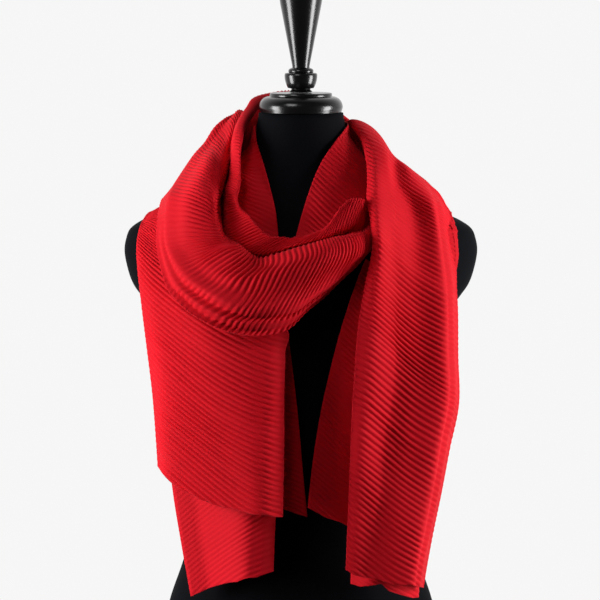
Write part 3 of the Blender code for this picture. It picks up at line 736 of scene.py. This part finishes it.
def add_turned(name, node, profile, material):
    """A turned piece: profile rows are (radius, height), from the bottom up, in millimetres."""
    radius, height = np.array(profile, float).T[..., None]
    angle = np.linspace(0, 2 * math.pi, TURNED_SEGMENTS, endpoint=False)
    rings = np.broadcast_arrays(radius * np.cos(angle), radius * np.sin(angle), height)
    item = add_piece(name, np.stack(rings, -1).reshape(-1, 3), turned_faces(len(profile), TURNED_SEGMENTS),
                     material, node)
    item.data.set_sharp_from_angle(angle=math.radians(TURNED_SHARP))


def add_neck_cap(material):
    """A bun: flat below, widest a little above its foot, rounding over to a thin plate."""
    low, high = (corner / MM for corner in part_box("neck_cap"))
    foot, top, radius = low.z, high.z, high.x
    plate = CAP_PLATE * radius
    side = radius - CAP_SIDE_INSET
    widest = foot + CAP_WIDEST
    under = CAP_WIDEST - CAP_BEVEL
    over = top - CAP_SHOULDER_DROP - widest
    profile = [(AXIS_RADIUS, foot), (radius - CAP_FOOT_INSET, foot), (side, foot + CAP_BEVEL)]
    for turn in np.linspace(*CAP_UNDER_RINGS):
        profile.append((radius - CAP_SIDE_INSET * math.cos(turn), widest - under * math.cos(turn)))
    for turn in np.linspace(*CAP_SHOULDER_RINGS):
        reach = (radius - plate) * math.cos(turn) ** CAP_SHOULDER_POWER
        profile.append((plate + reach, widest + over * math.sin(turn)))
    profile += [(plate - inset, top - drop) for inset, drop in CAP_PLATE_EDGE]
    profile.append((AXIS_RADIUS, profile[-1][1]))
    add_turned("lacquered_neck_cap", "neck_cap", profile, material)


def add_finial(material):
    """A turned handle: a ball on a foot, then a taper that widens up to a domed crown."""
    low, high = (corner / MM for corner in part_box("finial"))
    taper = np.add(FINIAL_BALL[-1], np.multiply.outer(np.linspace(*FINIAL_TAPER_RINGS), FINIAL_TAPER))
    profile = [(radius, low.z + height) for radius, height in (*FINIAL_BALL, *taper, *FINIAL_CROWN)]
    profile.append((AXIS_RADIUS, high.z))
    add_turned("lacquered_finial", "finial", profile, material)


def add_scarf(material):
    """The stretches of the scarf, from the body outwards."""
    form = ["form_torso"]

    def strip(node, sections, per_gap, seed, rests_on=form, hangs=True, hem=None, pitch=PLEAT_PITCH,
              lively=(1.0,), **settings):
        """One stretch from a table of its own, clear of the form."""
        grid, stations = strip_surface(sections, per_gap, seed, pitch)
        if hangs:
            grid = hang_clear(grid, FORM_GAP)
        add_cloth(node, lift_off(grid, FORM_GAP), seed + 1, material, rests_on,
                  per_column(lively, grid.shape[1]), hem=(stations, hem) if hem else None, **settings)

    strip("tail_left_inner", TAIL_LEFT_INNER, per_gap=14, seed=10, hem=TAIL_LEFT_INNER_HEM, fullness=1.12)
    strip("collar_wrap", COLLAR_WRAP, per_gap=14, seed=20, hangs=False, fullness=1.15)
    strip("tail_left_back", TAIL_LEFT_BACK, per_gap=16, seed=30, hem=TAIL_LEFT_BACK_HEM, pitch=6.1,
          lively=TAIL_LEFT_BACK_LIVELY, fullness=1.06)
    strip("tail_left_front", TAIL_LEFT_FRONT, per_gap=16, seed=40, hangs=False, hem=TAIL_LEFT_FRONT_HEM,
          pitch=6.4, fullness=1.32, calm=0.85)
    strip("tail_right_inner", TAIL_RIGHT_INNER, per_gap=14, seed=50, hem=TAIL_RIGHT_INNER_HEM, fullness=1.10)
    strip("tail_right_under", TAIL_RIGHT_UNDER, per_gap=14, seed=60, rests_on=["tail_right_front"],
          hem=TAIL_RIGHT_UNDER_HEM, fullness=1.12)

    outer = LOOP_FRONT + LOOP_BACK[1:] + TAIL_RIGHT_FRONT[1:]
    tail = len(TAIL_RIGHT_FRONT) - 1
    sags = LOOP_FRONT_SAG + (0,) * (len(outer) - len(LOOP_FRONT))
    folds = LOOP_FRONT_FOLD + LOOP_BACK_FOLD[1:] + (0,) * tail
    tuck = (1,) * (len(outer) - tail) + TAIL_RIGHT_TUCK
    pitch = LOOP_FRONT_PITCH + LOOP_BACK_PITCH[1:] + TAIL_RIGHT_PITCH[1:]
    fullness = LOOP_FRONT_FULLNESS + (LOOP_BACK_FULLNESS,) * (len(LOOP_BACK) - 1) + TAIL_RIGHT_FULLNESS[1:]
    sections = loop_sections(outer, folds, sags, tuck)
    grid, stations = strip_surface(sections, per_gap=6, seed=70, pitch=pitch)
    grid = lift_off(grid, FORM_GAP)
    front_end = len(LOOP_FRONT) - 1
    back_end = front_end + len(LOOP_BACK) - 1
    on_loop = np.clip(back_end + 1 - stations[:, :1], 0, 1)
    lively = on_loop * per_column(LOOP_LIVELY, grid.shape[1])
    lively = lively + (1 - on_loop) * per_column(TAIL_LIVELY, grid.shape[1])
    fullness = np.interp(stations[:, :1], np.arange(len(outer)), fullness)

    def cut(node, first, last, seed, rests_on, hem=None):
        """One stretch of the outer pass, from its first section to its last."""
        inside = np.flatnonzero((stations[:, 0] >= first - 1e-6) & (stations[:, 0] <= last + 1e-6))
        rows = slice(inside[0], inside[-1] + 2)
        add_cloth(node, grid[rows], seed, material, rests_on, lively[rows], fullness[rows], calm=0.8,
                  hem=(stations[rows] - first, hem) if hem else None)

    cut("loop_front", 0, front_end, seed=71, rests_on=["form_torso", "tail_left_front"])
    cut("loop_back", front_end, back_end, seed=72, rests_on=form)
    cut("tail_right_front", back_end, len(outer) - 1, seed=73, rests_on=form, hem=OUTER_HEM)


def add_floor():
    """A pale floor: matt near the form, and as bright as the backdrop further out."""
    material = bpy.data.materials.new("floor_paper")
    material.use_nodes = True
    tree = material.node_tree
    tree.nodes.clear()
    place = add_node(tree, "ShaderNodeTexCoord")
    distance = add_node(tree, "ShaderNodeVectorMath", operation="LENGTH")
    share = add_node(tree, "ShaderNodeMapRange")
    share.inputs["From Min"].default_value = FLOOR_MATT
    share.inputs["From Max"].default_value = FLOOR_BRIGHT
    paper = add_node(tree, "ShaderNodeBsdfDiffuse", Color=(0.9, 0.9, 0.9, 1))
    glow = add_node(tree, "ShaderNodeEmission", Color=(BACKDROP, BACKDROP, BACKDROP, 1))
    mix = add_node(tree, "ShaderNodeMixShader")
    out = add_node(tree, "ShaderNodeOutputMaterial")
    tree.links.new(place.outputs["Object"], distance.inputs[0])
    tree.links.new(distance.outputs["Value"], share.inputs["Value"])
    tree.links.new(share.outputs["Result"], mix.inputs[0])
    tree.links.new(paper.outputs[0], mix.inputs[1])
    tree.links.new(glow.outputs[0], mix.inputs[2])
    tree.links.new(mix.outputs[0], out.inputs[0])
    reach = FLOOR_REACH
    corners = [(-reach, -reach, 0), (reach, -reach, 0), (reach, reach, 0), (-reach, reach, 0)]
    floor = add_mesh("floor", corners, [(0, 1, 2, 3)], material, smooth=False)
    floor.visible_diffuse = False
    floor.visible_glossy = False


def add_world():
    """An even backdrop for the camera, and for the object a dark room in front of that bright backdrop."""
    world = bpy.data.worlds.new("studio")
    bpy.context.scene.world = world
    world.use_nodes = True
    tree = world.node_tree
    tree.nodes.clear()
    ray = add_node(tree, "ShaderNodeLightPath")
    seen = add_node(tree, "ShaderNodeBackground", Color=(BACKDROP, BACKDROP, BACKDROP, 1), Strength=1.0)
    direction = add_node(tree, "ShaderNodeTexCoord")
    parts = add_node(tree, "ShaderNodeSeparateXYZ")
    glow = add_node(tree, "ShaderNodeMapRange")
    glow.inputs["From Min"].default_value = ROOM_DARK_TO
    glow.inputs["From Max"].default_value = ROOM_BRIGHT_FROM
    glow.inputs["To Min"].default_value = AMBIENT
    glow.inputs["To Max"].default_value = BACKDROP
    light = add_node(tree, "ShaderNodeBackground", Color=(1, 1, 1, 1))
    mix = add_node(tree, "ShaderNodeMixShader")
    out = add_node(tree, "ShaderNodeOutputWorld")
    tree.links.new(direction.outputs["Generated"], parts.inputs[0])
    tree.links.new(parts.outputs["Y"], glow.inputs["Value"])
    tree.links.new(glow.outputs["Result"], light.inputs["Strength"])
    tree.links.new(ray.outputs["Is Camera Ray"], mix.inputs[0])
    tree.links.new(light.outputs[0], mix.inputs[1])
    tree.links.new(seen.outputs[0], mix.inputs[2])
    tree.links.new(mix.outputs[0], out.inputs[0])


def aim(item, target):
    """Turn an item's -Z to a target."""
    direction = Vector(target) - Vector(item.location)
    item.rotation_euler = direction.to_track_quat("-Z", "Y").to_euler()


def add_lights():
    for name, round_by, distance, height, width, tall, watts in LIGHTS:
        data = bpy.data.lights.new(name, "AREA")
        data.shape = "RECTANGLE"
        data.size, data.size_y = width, tall
        data.energy = watts
        item = bpy.data.objects.new(name, data)
        turn = math.radians(round_by)
        item.location = (distance * math.sin(turn), -distance * math.cos(turn), height)
        item.visible_camera = False
        bpy.context.scene.collection.objects.link(item)
        aim(item, LIGHT_AIM)


def add_camera():
    data = bpy.data.cameras.new("camera")
    data.sensor_width = SENSOR_WIDTH
    data.lens = SENSOR_WIDTH * CAMERA_DISTANCE / FRAME_WIDTH
    camera = bpy.data.objects.new("camera", data)
    pitch = math.radians(CAMERA_PITCH)
    camera.location = (CAMERA_AIM[0], CAMERA_AIM[1] - CAMERA_DISTANCE * math.cos(pitch),
                       CAMERA_AIM[2] + CAMERA_DISTANCE * math.sin(pitch))
    camera.rotation_euler = (math.radians(90 - CAMERA_PITCH), 0, 0)
    bpy.context.scene.collection.objects.link(camera)
    bpy.context.scene.camera = camera


for leftover in list(bpy.data.objects):
    bpy.data.objects.remove(leftover)

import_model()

add_camera()
add_form(jersey_material())
lacquer = lacquer_material()
add_neck_cap(lacquer)
add_finial(lacquer)
add_scarf(scarf_material())
add_floor()
add_world()
add_lights()
bpy.context.scene.view_settings.view_transform = "Standard"
